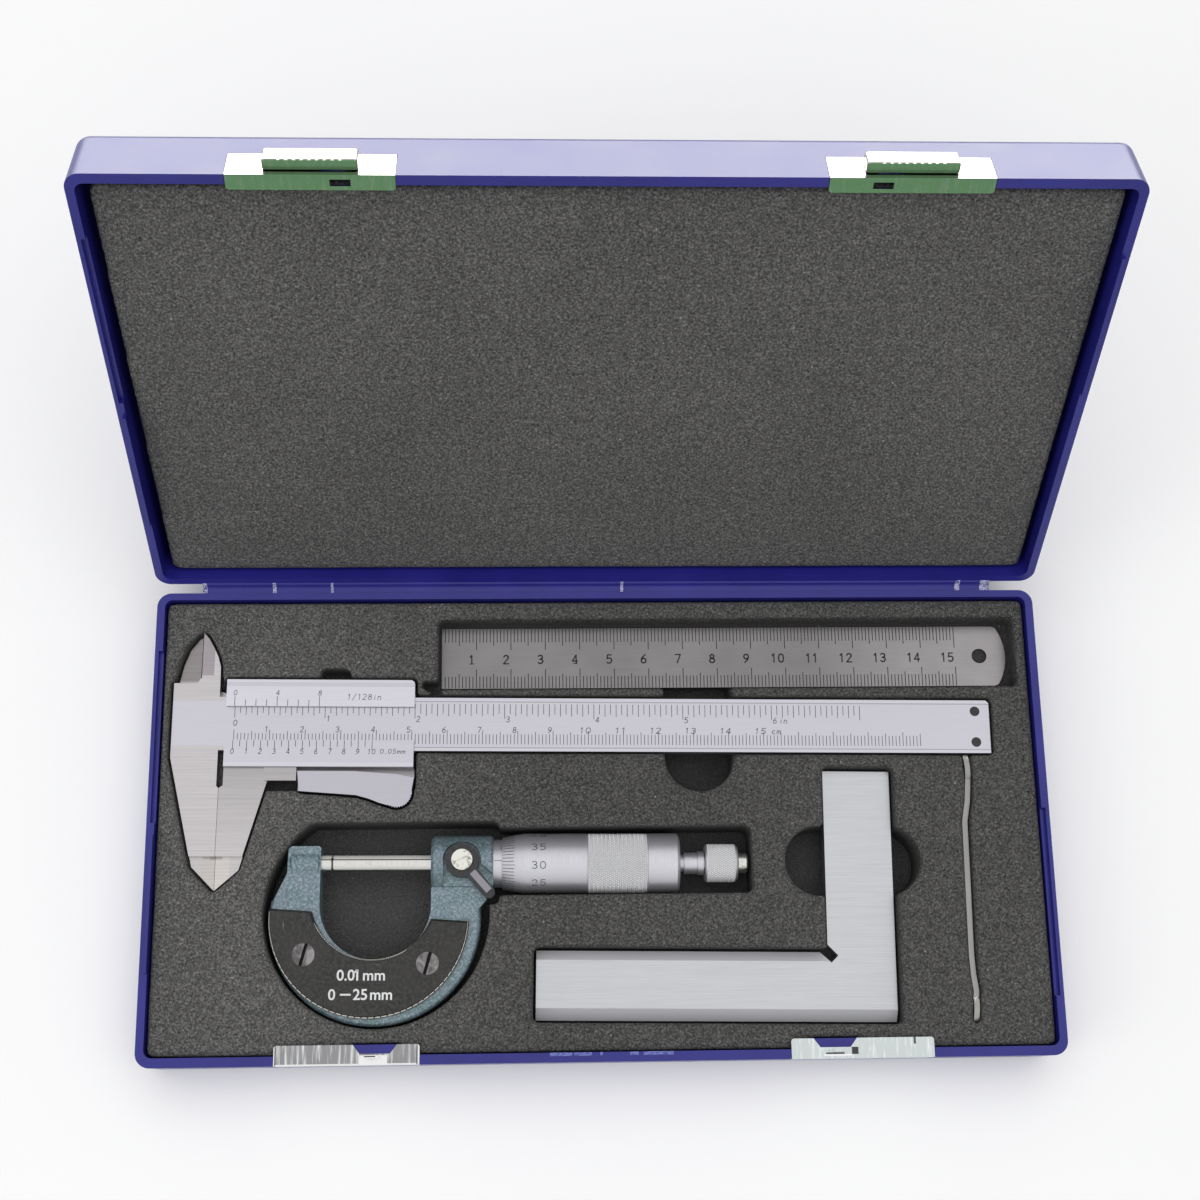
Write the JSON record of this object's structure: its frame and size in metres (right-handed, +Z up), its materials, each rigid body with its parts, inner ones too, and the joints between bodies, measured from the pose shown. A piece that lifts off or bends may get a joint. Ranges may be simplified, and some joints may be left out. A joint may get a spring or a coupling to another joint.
{
  "type": "micrometer case",
  "caption": "Hinged moulded case with sliding catches and cut foam, holding a vernier caliper, outside micrometer, steel rule, square and spanner.",
  "frame": {"origin": "centre of the base's underside", "axes": "+X to the user's right, +Y to the hinge, +Z up from the table"},
  "size_m": [0.252, 0.2112, 0.1386],
  "materials": {
    "case_plastic": "satin",
    "foam": "matte",
    "nickel_plate": "polished",
    "caliper_steel": "satin",
    "brass_gib": "satin",
    "dark_steel": "satin",
    "frame_enamel": "gloss",
    "black_cover": "matte",
    "bright_screws": "polished",
    "satin_chrome": "satin",
    "ground_steel": "polished",
    "black_lever": "gloss",
    "rule_steel": "satin",
    "square_steel": "satin",
    "spanner_steel": "satin"
  },
  "bodies": {
    "base": {"base_shell": "case_plastic", "hinge_strip": "case_plastic", "foam_backing": "foam", "base_foam": "foam", "keeper_left": "nickel_plate", "keeper_right": "nickel_plate"},
    "lid": {"lid_shell": "case_plastic", "lid_foam": "foam", "latch_plate_left": "nickel_plate", "latch_plate_right": "nickel_plate"},
    "catch_left": {"latch_slider_left": "nickel_plate"},
    "catch_right": {"latch_slider_right": "nickel_plate"},
    "caliper": {"caliper_beam": "caliper_steel", "end_stop": "caliper_steel", "end_stop_screws": "dark_steel"},
    "caliper_jaw": {"caliper_slider": "caliper_steel", "caliper_gib": "brass_gib", "depth_rod": "caliper_steel", "lever_pin": "caliper_steel"},
    "caliper_lever": {"thumb_lever": "caliper_steel"},
    "micrometer": {"micrometer_frame": "frame_enamel", "anvil": "ground_steel", "front_cover": "black_cover", "back_cover": "black_cover", "cover_screws": "bright_screws", "sleeve": "satin_chrome", "adjusting_nut": "satin_chrome"},
    "measuring_spindle": {"spindle": "ground_steel"},
    "thimble_body": {"thimble": "satin_chrome", "ratchet_stem": "satin_chrome", "ratchet_screw": "bright_screws"},
    "ratchet": {"ratchet_knob": "satin_chrome"},
    "spindle_lock": {"lock_lever": "black_lever", "lock_screw": "bright_screws"},
    "rule": {"steel_rule": "rule_steel"},
    "try_square": {"square": "square_steel"},
    "hook_spanner": {"spanner": "spanner_steel"}
  },
  "joints": [
    {"name": "lid_hinge", "type": "hinge", "parent": "base", "child": "lid", "pos_m": [0, 0.0675, 0.019], "axis": [-1, 0, 0], "range_deg": [-118, 62]},
    {"name": "catch_left_slide", "type": "slide", "parent": "lid", "child": "catch_left", "axis": [-1, 0, 0], "range_m": [-0.004, 0]},
    {"name": "catch_right_slide", "type": "slide", "parent": "lid", "child": "catch_right", "axis": [1, 0, 0], "range_m": [-0.004, 0]},
    {"name": "caliper_lift", "type": "slide", "parent": "base", "child": "caliper", "axis": [0, 0, 1], "range_m": [0, 0.09]},
    {"name": "caliper_slide", "type": "slide", "parent": "caliper", "child": "caliper_jaw", "axis": [0.9999, -0.0117, 0], "range_m": [0, 0.15]},
    {"name": "lever_press", "type": "hinge", "parent": "caliper_jaw", "child": "caliper_lever", "pos_m": [-0.08219, 0.01215, 0.014], "axis": [0, 0, 1], "range_deg": [0, 2.5], "stiffness_Nm_per_rad": 0.1, "springref_deg": -5.73},
    {"name": "micrometer_lift", "type": "slide", "parent": "base", "child": "micrometer", "axis": [0, 0, 1], "range_m": [0, 0.125]},
    {"name": "spindle_travel", "type": "slide", "parent": "micrometer", "child": "measuring_spindle", "axis": [1, -0.0075, 0], "range_m": [0, 0.0247]},
    {"name": "thimble_turn", "type": "hinge", "parent": "measuring_spindle", "child": "thimble_body", "pos_m": [-0.0155, -0.01135, 0.0111], "axis": [1, -0.0075, 0], "range_deg": [0, 17784]},
    {"name": "ratchet_turn", "type": "hinge", "parent": "thimble_body", "child": "ratchet", "pos_m": [-0.0155, -0.01135, 0.0111], "axis": [1, -0.0075, 0], "continuous": true},
    {"name": "lock_swing", "type": "hinge", "parent": "micrometer", "child": "spindle_lock", "pos_m": [-0.0391, -0.01097, 0.016], "axis": [0, 0, 1], "range_deg": [-25, 0]},
    {"name": "rule_lift", "type": "slide", "parent": "base", "child": "rule", "axis": [0, 0, 1], "range_m": [0, 0.06]},
    {"name": "square_lift", "type": "slide", "parent": "base", "child": "try_square", "axis": [0, 0, 1], "range_m": [0, 0.06]},
    {"name": "spanner_lift", "type": "slide", "parent": "base", "child": "hook_spanner", "axis": [0, 0, 1], "range_m": [0, 0.06]}
  ],
  "couplings": [
    {"joint": "caliper_lift", "follows": "caliper_slide", "ratio": 0.6},
    {"joint": "thimble_turn", "follows": "spindle_travel", "rad_per_m": 12566},
    {"joint": "micrometer_lift", "follows": "spindle_travel", "ratio": 5}
  ]
}
